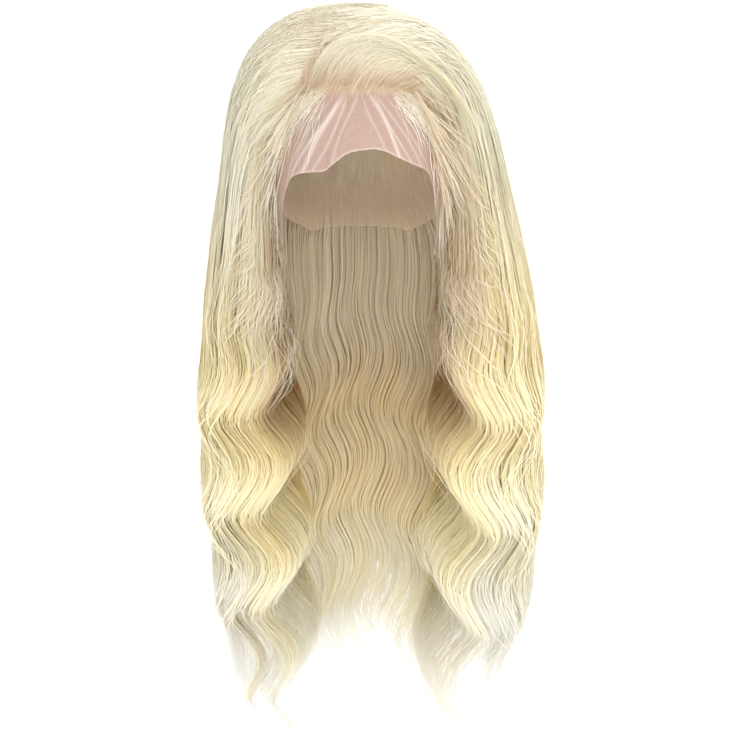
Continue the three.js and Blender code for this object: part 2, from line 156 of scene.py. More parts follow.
# The strands.
STRAND_STEPS = 44
CROWN_STEPS = 18
FALL_STEPS = 30
CROWN_SPACING = 0.5  # how densely their points lie over the cap, next to where they hang
EASE_ROUNDS = 10
STRAND_SHIFT = 0.01  # turns by which the waves of strands differ
TIP_SPREAD = (1.4, 18.0)  # shape and size of the spread of the tips upwards
TIP_LEVELS = (-670.0, -420.0)
TIP_FLARE = 2.2  # how much more the tips sway
LOOSE_SHARE = 0.03  # share of the strands that stray
SWAY = (0.3, 0.9)
SWAY_FROM = 10.0
LOOSE_SWAY = (2.0, 5.0)
LOOSE_FROM = 110.0
SWAY_GROWS = 170.0
SWAY_LENGTHS = (90, 220)
STRAND_GAP = 1.0  # least distance from the form
STRAND_WIDTH = (0.6, 0.95)
FILL_WIDTH = (1.6, 2.4)
# painted shade: the wide fill strands inside the hair get a darker, more golden tone
FILL_PAINTED_SHADE = 0.92
WAVE_WIDTH = 1.22  # how much wider they are in the waves, where the hair spreads
ROOT_WIDTH = 0.7
TIP_WIDTH = 0.14
TILT = 0.15  # radians by which the flat sides of strands differ
TONE_TWIG = 0.05
TONE_STRAND = 0.08
# painted shade through the hair: tone paler on the outside layers, more golden on the inside ones
LAYER_PAINTED_SHADE = 0.12
# painted highlight and shade on the waves: tone paler where a wave rolls forwards, more golden where it
# rolls back
ROLL_PAINTED_LIGHT_AND_SHADE = 0.1
# Each piece of hair: name, side, kinds of strands with their numbers, and the solids it stands for.
HAIR_PLAN = [
    ("hair_right_outer", -1, {"outer": 1850}, ("crown_hair_right", "hanging_hair_right")),
    ("hair_right_inner", -1, {"fill": 380, "inner": 1200}, ()),
    ("hair_left_outer", 1, {"outer": 1900}, ("crown_hair_left", "hanging_hair_left")),
    ("hair_left_inner", 1, {"fill": 400, "inner": 1230}, ()),
    ("hair_back", 0, {"fill": 420, "both": 1450}, ("crown_hair_back", "hanging_hair_back")),
]

# Where the hair is golden brown: painted shade beside the face and on the inside, and a golden brown zone at
# the left temple.
FACE_PAINTED_SHADE = 0.9
INSIDE_PAINTED_SHADE = 0.3
TEMPLE_BROWN = 67.0  # azimuth up to which the left temple is golden brown
TEMPLE_FADE = 12.0  # degrees
TEMPLE_SHARES = (0.1, 0.85)

# The fine hairs of the hairline, temples, front edges of the falls, forehead and parting: number, share
# and length of the root colour, tone, share of golden brown, least and greatest width.
FINE_KINDS = [
    (950, 1.0, 16, 0.65, 0.0, 0.2, 0.34), (1200, 0.3, 16, 0.65, 0.7, 0.35, 0.65),
    (1050, 0.3, 16, 0.65, 0.7, 0.35, 0.65), (620, 0.1, 16, 0.9, 0.35, 0.23, 0.391),
    (420, 0.85, 30, 0.6, 0.2, 0.35, 0.65),
]
FINE_STEPS = 14
FINE_SHARE = np.linspace(0, 1, FINE_STEPS + 1)[None]
FINE_GAP = 0.8  # least distance from the form
FINE_LENGTH = 700.0  # of a hair whose colours they share
EDGE_SPANS = (23, 95)  # degrees from the parting to the ends of the hairline, right and left
EDGE_PLACE = 0.99
EDGE_LEVEL = -112.0
EDGE_LENGTHS = (40, 120)
PARTING_BACK = 0.34  # how far back along the parting they are tied
PARTING_SPREAD = 0.03
PARTING_FAN = 0.2
PARTING_TURN = (0.12, 0.36)  # how far towards the crown they reach
PARTING_LIFT = (0.55, 0.9)  # shares of the hair's thickness where they start
PARTING_TOP = 0.93
TEMPLE_SAG = 0.0016
FRONT_LIMIT = -88.0  # how far forward the short hairs reach before they bend back
FRIZZ_TOP = (-220.0, -60.0)
FRIZZ_LENGTHS = (30, 90)
SHORT_LENGTHS = (35, 90)

# The loose wisps, and one hooked wisp low at the right.
LOOSE_HAIRS = 260
LOOSE_WIDTH = (0.2, 0.34)
OUTSIDE_HAIRS = 230
OUTSIDE_WIDTH = (0.35, 0.65)
WISP_TIP = -672.0
WISP_SPREAD = (1.5, 26.0)
HOOK_HAIRS = 46
HOOK_PLACE = -0.93
HOOK_LAYER = 0.7
HOOK_TOP = -430.0
HOOK_TIP = -664.0
HOOK_SPREAD = (1.2, 6.0)
HOOK_FROM = 628.0  # how far down the wisp begins to turn inwards
HOOK_IN = 18.0  # how far its tip comes inwards, besides its wave
HOOK_WIDTH = (0.7, 1.1)

# The lace.
LACE_COLUMNS = 340
LACE_ROWS = 56
LACE_EVEN = 0.35  # how evenly the columns are spread, as they lie closer at the front
LACE_LIFT = 0.5
NET_SPAN = 520.0  # the cap laid out flat fits in a square of this size
NET_PITCH = 2.1  # between the threads of the net
NET_THREAD = 0.42  # share of the pitch that a thread covers
NET_SOFT = 0.25
NET_SLANT = 0.6
RIM_FROM = (0.982, 0.998)  # shares of the way from the top where the cut edge is paler
# Creases in the loose lace: azimuth at the hairline and at the edge, height, width.
CREASES = [(-10, -34, 2.2, 4.0), (0, -12, 1.4, 3.5), (4, 24, 2.0, 4.0)]
CREASE_FULL = 0.6
# Fine pale folds in it: azimuth at the hairline and at the edge, width, paleness.
FOLDS = [
    (-9, -37, 1.5, 0.5), (-7, -31, 1.0, 0.4), (-4, -24, 0.8, 0.3), (-1, -13, 0.8, 0.25),
    (2, 12, 0.7, 0.2), (4, 22, 1.0, 0.42), (6, 27, 0.8, 0.36), (9, 34, 0.8, 0.28),
    (13, 42, 0.8, 0.25), (-14, -45, 0.9, 0.3),
]
FOLD_WOBBLE = 1.3

# Colours and finishes.
LACE_DEEP = (0.32, 0.207, 0.165, 1)
LACE_PALE = (0.43, 0.297, 0.245, 1)
LACE_UNDER = (0.84, 0.64, 0.46, 1)
LACE_WHITE = (0.88, 0.82, 0.77, 1)
RIM_PALE = 0.35
FOLD_CLOSE = 0.95
VEIL = (0.15, 0.45)  # how closely the net covers between its threads: under the hair, more where loose
THREADS = (0.55, 0.37)  # and along its threads
HAIR_ALONG = [
    (0.0, (0.95, 0.935, 0.855)), (0.22, (0.91, 0.90, 0.82)), (0.36, (0.87, 0.825, 0.655)),
    (0.48, (0.935, 0.873, 0.655)), (0.66, (0.967, 0.925, 0.747)), (0.8, (0.935, 0.92, 0.825)),
    (0.9, (0.89, 0.887, 0.86)), (1.0, (0.83, 0.83, 0.82)),
]
HAIR_TONES = [(0.0, (0.95, 0.87, 0.64)), (0.5, (0.98, 0.965, 0.92)), (1.0, (1.0, 1.0, 1.0))]
HAIR_ROOT = (0.57, 0.395, 0.225, 1)
# golden brown used as painted shade on the inside and beside the face, and as the golden brown of the temple
# and fine hairs
HAIR_BROWN_AND_SHADE = (0.50, 0.285, 0.07, 1)
HAIR_THROUGH = 0.5  # share of the light that passes through a strand

# The studio, in metres, and its lights: name, place, size, power.
FLOOR_HALF = 12.0
FLOOR_LEVEL = -0.69
LIGHT_AIM = (0, 0, -0.3)
LIGHTS = [
    ("key", (1.0, -1.75, 1.45), 1.8, 50),
    ("fill", (-0.9, -2.0, 0.0), 1.8, 18),
    ("back", (0.7, 2.0, 1.1), 1.4, 26),
]


# Curves and directions

def smooth(x, start, end):
    """0 up to the start, 1 from the end on, with a soft step between them."""
    t = np.clip((np.asarray(x, float) - start) / (end - start), 0, 1)
    return t * t * (3 - 2 * t)


def lerp(a, b, t):
    return a + (b - a) * t


def unit(v):
    return v / np.maximum(np.linalg.norm(v, axis=-1, keepdims=True), 1e-9)


def square_to(v, axis):
    """The part of a direction that is square to an axis."""
    return unit(v - axis * (v * axis).sum(-1, keepdims=True))


def angle_of(cosine):
    return np.arccos(np.clip(cosine, -1, 1))


def turned(a, b, share):
    """The direction part of the way round from a to b."""
    angle = angle_of((a * b).sum(-1))[..., None]
    share = np.asarray(share, float)[..., None]
    size = np.maximum(np.sin(angle), 1e-6)
    return unit(np.sin((1 - share) * angle) / size * a + np.sin(share * angle) / size * b)


def moved(points, way, amount):
    """Points moved along a direction, each by its own amount."""
    return points + way * amount[..., None]


def step_lengths(paths):
    return np.linalg.norm(np.diff(paths, axis=1), axis=-1)


def summed(steps):
    """How far along each path its points lie."""
    return np.concatenate([np.zeros((len(steps), 1)), np.cumsum(steps, 1)], 1)


def random_sides(rng, count):
    return np.where(rng.random(count) < 0.5, -1.0, 1.0)


# The cap's form and edge

def rounded_edge(column):
    """The edge's drop at every step round it, with its corners rounded."""
    azimuths = np.arange(-180, 180 + EDGE_STEP, EDGE_STEP)
    drops = np.interp(azimuths, EDGE[:, EDGE_AZIMUTH], EDGE[:, column])
    reach = np.arange(-EDGE_REACH, EDGE_REACH + 1)
    weights = np.exp(-0.5 * (reach * EDGE_STEP / EDGE_SOFT) ** 2)
    padded = np.pad(drops, EDGE_REACH, mode="wrap")
    return azimuths, np.convolve(padded, weights / weights.sum(), mode="valid")


EDGES = {column: rounded_edge(column) for column in (EDGE_LACE, EDGE_HAIR)}


def edge_drop(azimuth, column):
    return np.interp(azimuth, *EDGES[column])


def taper_at(x, y):
    backward = np.clip(y / np.maximum(np.hypot(x, y), 1e-9), 0, 1)
    return lerp(FACE_TAPER, NAPE_TAPER, backward)


def form_reach(direction):
    """How far the form's surface lies from its middle in a direction."""
    x, y, z = np.moveaxis(direction, -1, 0)
    height = np.where(z >= 0, CROWN_HEIGHT, taper_at(x, y))
    return 1 / np.sqrt((x / HALF_WIDTH) ** 2 + (y / HALF_DEPTH) ** 2 + (z / height) ** 2)


def over_form(direction, lift):
    return MIDDLE + direction * (form_reach(direction) + lift)[..., None]


def form_direction(azimuth, drop):
    angle = np.radians(azimuth)
    x, y = np.sin(angle), -np.cos(angle)
    below = drop - CROWN_HEIGHT
    height = np.where(below < 0, CROWN_HEIGHT, taper_at(x, y))
    across = np.sqrt(np.clip(1 - (below / height) ** 2, 0, 1))
    radius = across / np.hypot(x / HALF_WIDTH, y / HALF_DEPTH)
    return unit(np.stack([x * radius, y * radius, -below + 0 * radius], -1))


def azimuth_and_drop(direction):
    point = direction * form_reach(direction)[..., None]
    azimuth = np.degrees(np.arctan2(point[..., 0], -point[..., 1]))
    return azimuth, CROWN_HEIGHT - point[..., 2]


def clear_of_form(points, gap):
    offset = points - MIDDLE
    direction = unit(offset)
    least = form_reach(direction) + gap
    near = (np.linalg.norm(offset, axis=-1) < least) & (points[..., 2] > FORM_LOW)
    return np.where(near[..., None], MIDDLE + direction * least[..., None], points)


CROWN = unit(np.array([0, CROWN_BACK, 1.0]))
PART_FRONT = form_direction(np.array(PART_AZIMUTH), np.array(PART_DROP))
HAIRLINE_AZIMUTHS = np.arange(-60.0, 61.0, 3.0)
HAIRLINE = form_direction(HAIRLINE_AZIMUTHS, edge_drop(HAIRLINE_AZIMUTHS, EDGE_HAIR))


def crown_lift(direction):
    """How far the surface of the hair lies from the cap's form."""
    full = np.interp(np.degrees(angle_of(direction[..., 2])), *CROWN_LIFT.T)
    right = smooth(-direction[..., 0], 0.05, 0.5) * smooth(direction[..., 2], 0.0, 0.5)
    full = full * lerp(1, BACK_THIN, smooth(direction[..., 1], 0, 0.8)) * lerp(1, RIGHT_FULL, right)
    azimuth, drop = azimuth_and_drop(direction)
    away = np.degrees(angle_of((direction @ HAIRLINE.T).max(-1)))
    behind = np.where(drop < edge_drop(azimuth, EDGE_HAIR), away, -away)
    front = 1 - smooth(np.abs(azimuth), *FRONT_ENDS)
    return full * lerp(1, lerp(HAIRLINE_THIN, 1, smooth(behind, -1, FRONT_RISE)), front)


# The hanging hair

def fall_size(level, column):
    return np.interp(level, FALL[:, FALL_LEVEL], FALL[:, column])


def ring_at(place, level):
    """The ring that the hair hangs in: its points, their outward and their sideways directions."""
    angle = np.radians(place * FALL_REACH)
    across = np.where(place < 0, fall_size(level, FALL_RIGHT), fall_size(level, FALL_LEFT))
    back = fall_size(level, FALL_BACK)
    sine, cosine = np.sin(angle), np.cos(angle)
    flat = np.zeros_like(sine * across)
    point = np.stack([across * sine, FALL_CENTRE + back * cosine, level + flat], -1)
    outward = unit(np.stack([sine / across, cosine / back, flat], -1))
    sideways = unit(np.stack([across * cosine, -back * sine, flat], -1))
    return point, outward, sideways


def fall_thickness(place, level):
    side = np.where(place < 0, fall_size(level, THICK_RIGHT), fall_size(level, THICK_LEFT))
    return lerp(fall_size(level, THICK_BACK), side, smooth(np.abs(place), BACK_PART, SIDE_PART))


def fall_front(layer):
    """Where a fall ends at the front, round its edge from the inside to the outside."""
    return FRONT_PLACE + 0.03 - FRONT_ROUND * layer ** 2


def hanging(place, layer, level):
    """A point of the hanging hair, without its wave."""
    point, outward, _ = ring_at(place, level)
    return moved(point, outward, layer * fall_thickness(place, level))


def waved(points, place, layer, shift, size):
    """Adds the body wave: broad at the front, gentler at the sides and the back."""
    level = points[..., 2]
    around = place[:, None]
    side = np.where(around < 0, -1.0, 1.0)
    _, outward, sideways = ring_at(around, level)
    front = smooth(np.abs(around), 0.55, 0.85)
    flat = np.zeros_like(side)
    away = lerp(sideways, np.stack([side, flat, flat], -1), front[..., None])
    ahead = lerp(outward, np.stack([flat, flat - 1, flat], -1), front[..., None])
    kept = lerp(WAVE_SIDE, 1, smooth(np.abs(np.abs(around) - SIDE_MIDDLE), 0.1, 0.36))
    strength = smooth(-level, *WAVE_RISE) * size[:, None]
    drift = WAVE_DRIFT * (1 - np.abs(place)) - WAVE_SLANT * layer + shift
    to_left = smooth(place, -0.3, 0.3)
    length = lerp(*WAVE_LENGTH, to_left)
    phase = lerp(*WAVE_PHASE, to_left)
    turn = 2 * np.pi * (-level / length[:, None] + (drift - phase)[:, None])
    across = strength * lerp(WAVE_BACK[0], WAVE_FRONT[0], front) * np.sin(turn)
    roll = strength * np.cos(turn - WAVE_LAG)
    depth = lerp(WAVE_BACK[1], WAVE_FRONT[1], front) * roll
    sweep = away * across[..., None] + ahead * depth[..., None]
    out = (sweep * outward).sum(-1) * (1 - kept)
    return points + sweep - outward * out[..., None], roll


# Strands

def roots(place, layer, rng):
    """Where each strand is tied: from the hairline and the cap's edge up to the parting."""
    count = len(place)
    along = np.minimum(np.abs(place), 1)
    azimuth = np.where(place < 0, -1, 1) * (180 - FALL_REACH * along)
    low = form_direction(azimuth, edge_drop(azimuth, EDGE_HAIR) - ROOT_UP)
    back = 1 - smooth(along, 0.1, 1.0)
    back = back + ROOT_SPREAD * rng.random(count) ** 1.5 * smooth(along, 0.4, 0.8)
    top = turned(PART_FRONT, CROWN, back)
    across = np.zeros_like(low)
    apart = PART_SCATTER[0] * rng.normal(0, 1, count) - PART_APART * np.sign(place)
    across[:, 0] = (1 - along) * apart
    across[:, 0] += PART_SCATTER[1] * rng.normal(0, 1, count)
    down = ROOT_DOWN * rng.random(count) ** 2 * smooth(place, 0.6, 0.95) * smooth(layer, 0.6, 1)
    root = turned(low, unit(top + across), np.clip((layer + 1) / 2, 0, 1) - down)
    azimuth, drop = azimuth_and_drop(root)
    limit = edge_drop(azimuth, EDGE_HAIR) - ROOT_INSET * rng.random(count) ** 2
    return form_direction(azimuth, np.minimum(drop, limit))


def crown_paths(root, place, layer, leave):
    """Strands from their roots over the crown to where they leave the cap."""
    t = np.linspace(0, 1, CROWN_STEPS)[None, :]
    offset = leave - MIDDLE
    end = unit(offset)
    end_lift = np.linalg.norm(offset, axis=-1) - form_reach(end)
    front = smooth(np.abs(place), 0.35, 0.85) * smooth(-root[:, 1], -0.3, 0.3)
    left_pull = lerp(*LEFT_PULL, smooth(root[:, 0], -0.15, 0.4))
    pull = front * np.where(place > 0, left_pull, RIGHT_PULL)
    middle = turned(turned(root, end, PULL_AT), CROWN, pull)
    first = turned(root[:, None], middle[:, None], t)
    second = turned(middle[:, None], end[:, None], t)
    direction = turned(first, second, t)
    gone = np.degrees(angle_of((direction * root[:, None]).sum(-1)))
    rise = smooth(gone, 0, np.minimum(12, np.maximum(gone[:, -1:], 1)))
    share = 0.05 + 0.95 * (1 - np.clip((1 - layer) / 2, 0, 1) ** 1.8)
    lift = lerp(crown_lift(direction) * share[:, None], end_lift[:, None], smooth(t, PULL_AT, 1))
    azimuth, drop = azimuth_and_drop(root)
    behind = smooth(edge_drop(azimuth, EDGE_HAIR) - drop, 2, 20)
    start = ROOT_LIFT + behind * ROOT_SUNK * crown_lift(root) * share
    return over_form(direction, lerp(start[:, None], lift, rise))


def resampled(paths, count):
    """Each path with its points closer together where it hangs, and how far along it they lie."""
    steps = step_lengths(paths)
    run = summed(steps)
    key = summed(steps * lerp(CROWN_SPACING, 1, smooth(-paths[:, 1:, 2], 100, 170)))
    points = np.empty((len(paths), count, 3))
    length = np.empty((len(paths), count))
    spread = np.linspace(0, 1, count)
    for i in range(len(paths)):
        at = spread * key[i, -1]
        for axis in range(3):
            points[i, :, axis] = np.interp(at, key[i], paths[i, :, axis])
        length[i] = np.interp(at, key[i], run[i])
    return points, length


def eased(paths):
    """Rounds off the corners of the paths, ends kept."""
    for _ in range(EASE_ROUNDS):
        paths[:, 1:-1] = 0.25 * paths[:, :-2] + 0.5 * paths[:, 1:-1] + 0.25 * paths[:, 2:]
    return paths


def clear_of_tabs(points):
    """Keeps the hair behind the temples and the lace tabs in front of the ears."""
    x, y, z = np.moveaxis(points, -1, 0)
    azimuth = np.degrees(np.arctan2(x, -y))
    line = np.where(x < 0, np.interp(-z, *RIGHT_LINE), np.interp(-z, *LEFT_LINE))
    loose = TEMPLE_SOFT * (np.modf(np.abs(points[:, :1, 0]) * SCATTER)[0] - 0.5)
    turn = np.sign(x) * np.radians(np.clip(line + loose - np.abs(azimuth), 0, LINE_TURN))
    return np.stack([x * np.cos(turn) - y * np.sin(turn), x * np.sin(turn) + y * np.cos(turn), z], -1)


def wander(rng, along, shortest, longest):
    """Smooth random swaying along each strand, about 1 in size."""
    count = len(along)
    total = np.zeros(along.shape)
    for _ in range(3):
        length = rng.uniform(shortest, longest, (count, 1))
        total += np.sin(2 * np.pi * (along / length + rng.random((count, 1))))
    return total / 1.7


def swayed(paths, run, place, loose, rng):
    """Lets each strand stray a little, and a share of them, the loose ones, further."""
    count = len(place)
    _, outward, sideways = ring_at(place[:, None], paths[..., 2])
    apart = rng.random(count) < loose
    size = np.where(apart, rng.uniform(*LOOSE_SWAY, count), rng.uniform(*SWAY, count))
    flare = 1 + TIP_FLARE * smooth(run / run[:, -1:], 0.75, 1)
    start = np.where(apart, LOOSE_FROM, SWAY_FROM)[:, None]
    sway = size[:, None] * smooth(run - start, 0, SWAY_GROWS) * flare
    out = sway * wander(rng, run, *SWAY_LENGTHS)
    side = sway * wander(rng, run, *SWAY_LENGTHS)
    return moved(moved(paths, outward, out), sideways, side)


def nearest(place, layer, spots, girth, thick):
    apart = (place[:, None] - spots[None, :, LOCK_PLACE]) * girth[:, None]
    deep = (layer[:, None] - spots[None, :, LOCK_LAYER]) * thick[:, None]
    return np.argmin(np.hypot(apart, deep), 1)


def gathered(place, layer, rng):
    """The lock and the twig of each strand, and its twig's shift, wave size, tip and tone."""
    level = np.full(len(place), GATHER_LEVEL)
    girth = 2 * np.where(place < 0, fall_size(level, FALL_RIGHT), fall_size(level, FALL_LEFT))
    thick = fall_thickness(place, level)
    lock = nearest(place, layer, LOCKS, girth, LOCK_FLAT * thick)
    twigs = np.stack([rng.uniform(place.min(), place.max(), TWIGS), rng.uniform(-1, 1, TWIGS)], 1)
    twig = nearest(place, layer, twigs, girth, thick)
    shift = rng.normal(0, TWIG_SHIFT, TWIGS)[twig] + LOCK_SHIFT * np.sin(7 * np.arange(len(LOCKS)))[lock]
    size = rng.uniform(*TWIG_SIZE, TWIGS)[twig]
    tip = rng.uniform(*TWIG_TIP, TWIGS)[twig]
    tone = rng.normal(0, 1, TWIGS)[twig]
    return LOCKS[lock], twigs[twig], shift, size, tip, tone


def pull_at(table, at_front, level):
    return sum(lerp(back, front, at_front) * smooth(-level, start, end) for back, front, start, end in table)


def fall_paths(place, layer, level, lock, twig):
    """Strands from where they leave the cap to their tips, drawn towards their twigs and locks."""
    at_front = smooth(np.abs(place), 0.65, 0.9)[:, None]
    twig_pull = pull_at(TWIG_PULL, at_front, level)
    lock_pull = pull_at(LOCK_PULL, at_front, level)
    hang = [place[:, None], layer[:, None]]
    for axis in (LOCK_PLACE, LOCK_LAYER):
        hang[axis] = lerp(hang[axis], twig[:, axis, None], twig_pull)
        hang[axis] = lerp(hang[axis], lock[:, axis, None], lock_pull)
    return hanging(*hang, level)


def strands(place, layer, rng, loose, tip=None):
    """Full strands of hair from the cap to their tips: their points and the values at them."""
    count = len(place)
    lock, twig, shift, size, twig_tip, twig_tone = gathered(place, layer, rng)
    if tip is None:
        tip = np.clip(lock[:, LOCK_TIP] + twig_tip + rng.gamma(*TIP_SPREAD, count), *TIP_LEVELS)
    root = roots(place, layer, rng)
    root_level = over_form(root, np.zeros(count))[:, 2]
    leave_level = np.minimum(LEAVE_LEVEL, root_level - LEAVE_DROP)
    over = crown_paths(root, place, layer, hanging(place, layer, leave_level))
    level = lerp(leave_level[:, None], tip[:, None], np.linspace(0, 1, FALL_STEPS)[None, 1:])
    paths = np.concatenate([over, fall_paths(place, layer, level, lock, twig)], 1)
    paths, run = resampled(eased(paths), STRAND_STEPS + 1)
    paths, roll = waved(paths, place, layer, shift + rng.normal(0, STRAND_SHIFT, count), size)
    paths = swayed(paths, run, place, loose, rng)
    paths = clear_of_form(clear_of_tabs(paths), STRAND_GAP)
    # tone differs at random by twig and strand, and is painted shade by layer: paler outside, more golden
    # inside
    tone = 0.5 + TONE_TWIG * twig_tone + TONE_STRAND * rng.normal(0, 1, count) + LAYER_PAINTED_SHADE * layer
    values = {
        "along": run / run[:, -1:],
        "rooted": rooted(root, run),
        # painted highlight and shade: paler where the wave rolls forwards, more golden where it rolls back
        "tone": np.clip(tone[:, None] + ROLL_PAINTED_LIGHT_AND_SHADE * roll, 0, 1),
        # deep: painted shade beside the face and on the inside, and the golden brown at the left temple
        "deep": np.maximum(painted_inner_shade(place, layer, paths[..., 2]), left_temple(paths, rng)),
    }
    return paths, values


# Where the strands change colour, and where shade is painted on them

def painted_inner_shade(place, layer, level):
    """Painted shade: how golden brown the hair is made where shade falls, most beside the face and on the
    inside.
    """
    beside = smooth(np.abs(place), 0.6, 0.88) * smooth(-layer, np.where(place < 0, -0.4, -0.25), 0.4)
    start = np.where(place < 0, 55.0, 0.0)[:, None]
    face = beside[:, None] * smooth(-level - start, 0, 60) * (1 - smooth(-level, 250, 420))
    inside = (smooth(-layer, 0.1, 0.6) * (1 - smooth(np.abs(place), 0.5, 0.8)))[:, None]
    return np.maximum(FACE_PAINTED_SHADE * face, INSIDE_PAINTED_SHADE * inside * (1 - smooth(-level, 330, 600)))


def left_temple(points, rng):
    """How golden brown the hair is just behind the hairline at the left temple."""
    x, y, z = np.moveaxis(points, -1, 0)
    near = smooth(TEMPLE_BROWN - np.degrees(np.arctan2(x, -y)), 0, TEMPLE_FADE) * (x > 0)
    high = smooth(-z, 25, 60) * (1 - smooth(-z, 190, 260))
    return near * high * rng.uniform(*TEMPLE_SHARES, (len(points), 1))


def rooted(root, run):
    """How much of the darker root colour a strand shows: most at the front hairline."""
    azimuth, drop = azimuth_and_drop(root)
    behind = edge_drop(azimuth, EDGE_HAIR) - drop
    left = smooth(azimuth, 15, 42)
    front = smooth(80 - np.abs(azimuth), 0, 25) * (1 - smooth(behind, 3, lerp(18, 30, left)))
    length = lerp(8, lerp(13, 48, left), front)
    return lerp(0.1, lerp(0.8, 1.0, left), front)[:, None] * np.exp(-run / length[:, None])


# Meshes

def linked(name, data):
    piece = bpy.data.objects.new(name, data)
    bpy.context.scene.collection.objects.link(piece)
    return piece


def put_values(mesh, values):
    """Named values at the mesh's points."""
    for key, numbers in values.items():
        layer = mesh.attributes.new(key, "FLOAT", "POINT")
        layer.data.foreach_set("value", numbers.astype(np.float32).ravel())


def facing(points, place, rng):
    """The direction that each ribbon's width lies in, along its strand."""
    level = points[..., 2]
    radial = unit(points - MIDDLE)
    _, outward, _ = ring_at(place[:, None], level)
    normal = unit(lerp(radial, outward, smooth(-level, 90, 150)[..., None]))
    along = unit(np.gradient(points, axis=1))
    normal = square_to(normal, along)
    across = np.cross(along, normal)
    count, steps = level.shape
    tilt = rng.normal(0, TILT, (count, 1))
    tilt = tilt + rng.normal(0, TILT, (count, 1)) * np.linspace(-1, 1, steps)
    return np.cos(tilt)[..., None] * across + np.sin(tilt)[..., None] * normal


def ribbons(name, points, place, width, values, rng):
    """One mesh of flat tapering strands, with named values at their points."""
    count, steps = points.shape[:2]
    across = facing(points, place, rng)
    share = np.linspace(0, 1, steps)
    taper = lerp(ROOT_WIDTH, 1, smooth(share, 0, 0.06)) * lerp(1, TIP_WIDTH, smooth(share, 0.62, 1))
    taper = taper * lerp(1, WAVE_WIDTH, smooth(share, 0.3, 0.55))
    half = 0.5 * width[:, None] * taper[None]
    edges = np.stack([moved(points, across, -half), moved(points, across, half)], 2)
    vertices = edges.reshape(-1, 3) * MM
    base = (np.arange(count)[:, None] * steps + np.arange(steps - 1)[None]).reshape(-1) * 2
    quads = np.stack([base, base + 1, base + 3, base + 2], 1)
    mesh = bpy.data.meshes.new(name)
    mesh.vertices.add(len(vertices))
    mesh.vertices.foreach_set("co", vertices.astype(np.float32).ravel())
    mesh.loops.add(quads.size)
    mesh.loops.foreach_set("vertex_index", quads.astype(np.int32).ravel())
    mesh.polygons.add(len(quads))
    mesh.polygons.foreach_set("loop_start", np.arange(0, quads.size, 4, dtype=np.int32))
    mesh.polygons.foreach_set("use_smooth", np.ones(len(quads), bool))
    both = (count, steps, 2)
    put_values(mesh, {key: np.broadcast_to(numbers.reshape(count, -1, 1), both)
                      for key, numbers in values.items()})
    strip_map(mesh, quads, count, steps)
    mesh.update()
    mesh.validate()
    return linked(name, mesh)


def strip_map(mesh, quads, count, steps):
    """A map with one upright strip for each strand, in rows."""
    rows = max(1, round(math.sqrt(count / 40)))
    columns = math.ceil(count / rows)
    strand = np.arange(count)
    left = (strand % columns + 0.1) / columns
    low = (strand // columns + 0.03) / rows
    v = low[:, None] + 0.94 / rows * np.linspace(0, 1, steps)[None]
    u = np.stack([left, left + 0.8 / columns], 1)
    both = (count, steps, 2)
    places = np.stack([np.broadcast_to(u[:, None], both), np.broadcast_to(v[..., None], both)], -1)
    layer = mesh.uv_layers.new(name="OFBake")
    layer.data.foreach_set("uv", places.reshape(-1, 2)[quads.ravel()].astype(np.float32).ravel())


# Lace

def lace_points():
    """The cap in rows from its top to its scalloped edge: points, azimuths and the values at them."""
    column = np.linspace(-1, 1, LACE_COLUMNS, endpoint=False)
    azimuth = 180 * (LACE_EVEN * column + (1 - LACE_EVEN) * column ** 3)
    hair, lace = edge_drop(azimuth, EDGE_HAIR), edge_drop(azimuth, EDGE_LACE)
    share = np.linspace(0, 1, LACE_ROWS + 1)[1:, None]
    direction = turned(UP, form_direction(azimuth, lace)[None], share)
    drop = azimuth_and_drop(direction)[1]
    down = np.clip((drop - hair) / (lace - hair), 0, 1)
    lift = np.full(drop.shape, LACE_LIFT)
    for top, bottom, height, width in CREASES:
        off = (azimuth - lerp(top, bottom, down)) / width
        lift = lift + height * (smooth(down, 0, CREASE_FULL) * np.exp(-off * off))
    fold = np.zeros(drop.shape)
    for index, (top, bottom, width, paleness) in enumerate(FOLDS):
        wobble = FOLD_WOBBLE * np.sin(5 * down + 2.4 * index)
        off = (azimuth - lerp(top, bottom, down) - wobble) / width
        fold = np.maximum(fold, paleness * smooth(down, 0.02, 0.3) * np.exp(-off * off))
    loose = smooth(drop - hair, -4, 8) * smooth(70 - np.abs(azimuth), 0, 10)
    rim = loose * smooth(share, *RIM_FROM)
    return over_form(direction, lift), azimuth, {"fold": fold, "rim": rim, "loose": loose}


def lace_sheet():
    """The cap as one sheet with a map of it laid out flat, and its area."""
    points, azimuth, values = lace_points()
    top = over_form(UP[None], np.array([LACE_LIFT]))
    vertices = np.concatenate([top, points.reshape(-1, 3)]) * MM
    at = 1 + np.arange(LACE_ROWS)[:, None] * LACE_COLUMNS + np.arange(LACE_COLUMNS)[None]
    after = np.roll(at, -1, 1)
    quads = np.stack([at[:-1], at[1:], after[1:], after[:-1]], -1).reshape(-1, 4)
    caps = np.stack([np.zeros(LACE_COLUMNS, int), at[0], after[0]], -1)
    mesh = bpy.data.meshes.new("lace_cap_net")
    mesh.from_pydata(vertices.tolist(), [], quads.tolist() + caps.tolist())
    mesh.polygons.foreach_set("use_smooth", np.ones(len(mesh.polygons), bool))
    put_values(mesh, {key: np.concatenate([[0], numbers.ravel()]) for key, numbers in values.items()})
    rows = np.concatenate([np.broadcast_to(top, points[:1].shape), points])
    radius = np.cumsum(np.linalg.norm(np.diff(rows, axis=0), axis=-1), 0)
    turn = np.radians(azimuth)[None]
    spread = np.stack([radius * np.sin(turn), -radius * np.cos(turn)], -1).reshape(-1, 2)
    spread = np.concatenate([[[0, 0]], spread]) / NET_SPAN + 0.5
    corners = np.empty(len(mesh.loops), np.int32)
    mesh.loops.foreach_get("vertex_index", corners)
    layer = mesh.uv_layers.new(name="net")
    layer.data.foreach_set("uv", spread[corners].astype(np.float32).ravel())
    mesh.update()
    return linked("lace_cap_net", mesh), sum(p.area for p in mesh.polygons)


# Materials

